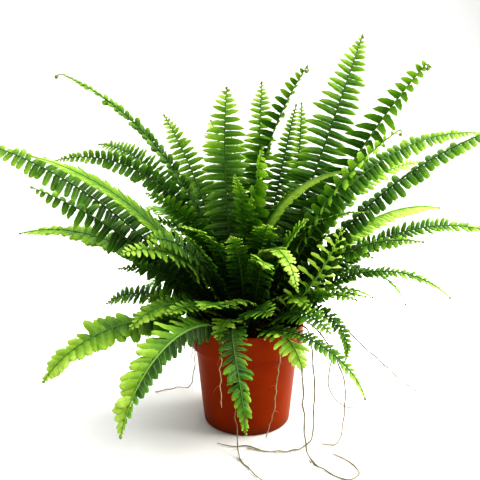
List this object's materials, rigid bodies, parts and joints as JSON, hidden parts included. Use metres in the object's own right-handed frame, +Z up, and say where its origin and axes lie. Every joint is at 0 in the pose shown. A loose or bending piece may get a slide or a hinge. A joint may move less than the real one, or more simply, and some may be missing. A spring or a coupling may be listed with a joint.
{
  "type": "potted fern",
  "caption": "Bushy fern with long toothed fronds that arch out of a plain tapered plastic plant pot with a wide rim band, and wiry runners that trail onto the surface.",
  "frame": {"origin": "centre of the pot's underside, on the surface that the pot stands on", "axes": "+Z up out of the underside through the pot's axis, +X to the right and -Y to the front of the plant"},
  "size_m": [0.5361, 0.4133, 0.4029],
  "materials": {
    "terracotta_plastic": "thin moulded plastic, smooth with a low sheen and a few scuffs on the band",
    "potting_mix": "loose dark mix of bark and peat with pale grains",
    "rhizome": "rough brown scaly stem base",
    "fern_leaf": "thin leaf with a soft sheen, dark green at the base and yellow-green at the tips",
    "runner_stem": "thin dry wiry stem, grey-brown to pale green"
  },
  "bodies": {
    "root": {"pot": "terracotta_plastic", "soil": "potting_mix", "crown": "rhizome", "frond_tall_right": "fern_leaf", "frond_tall_left": "fern_leaf", "frond_tall_centre": "fern_leaf", "frond_tall_hooked": "fern_leaf", "frond_slim_upright": "fern_leaf", "frond_pale_upright": "fern_leaf", "frond_left_upright": "fern_leaf", "frond_left_high_arch": "fern_leaf", "frond_right_high": "fern_leaf", "frond_right_high_small": "fern_leaf", "frond_right_lace": "fern_leaf", "frond_right_long": "fern_leaf", "frond_right_back_pale": "fern_leaf", "frond_right_under": "fern_leaf", "frond_right_level": "fern_leaf", "frond_right_level_small": "fern_leaf", "frond_right_low": "fern_leaf", "frond_right_low_slim": "fern_leaf", "frond_right_low_front": "fern_leaf", "frond_right_hanging": "fern_leaf", "frond_right_drop": "fern_leaf", "frond_front_right_spill": "fern_leaf", "frond_front_spill": "fern_leaf", "frond_left_spill": "fern_leaf", "frond_left_front_spill": "fern_leaf", "frond_left_low_dark": "fern_leaf", "frond_left_level": "fern_leaf", "frond_left_bright_arch": "fern_leaf", "frond_left_long": "fern_leaf", "frond_left_upper": "fern_leaf", "frond_left_upper_back": "fern_leaf", "frond_left_fringe": "fern_leaf", "frond_centre_drop": "fern_leaf", "frond_centre_left_drop": "fern_leaf", "frond_right_fan": "fern_leaf", "frond_front_curl": "fern_leaf", "frond_front_left_small": "fern_leaf", "frond_front_small": "fern_leaf", "frond_centre_arch": "fern_leaf", "frond_centre_facing": "fern_leaf", "frond_left_near": "fern_leaf", "frond_left_near_low": "fern_leaf", "frond_back_high": "fern_leaf", "frond_back_left_arch": "fern_leaf", "frond_back_right_arch": "fern_leaf", "frond_back_inner": "fern_leaf", "frond_back_small": "fern_leaf", "frond_back_low": "fern_leaf", "frond_back_left_low": "fern_leaf", "runner_right": "runner_stem", "runner_loop": "runner_stem", "runner_across": "runner_stem", "runner_front": "runner_stem", "runner_pink": "runner_stem", "runner_far_right": "runner_stem", "runner_corner": "runner_stem", "runner_back": "runner_stem"}
  },
  "joints": []
}
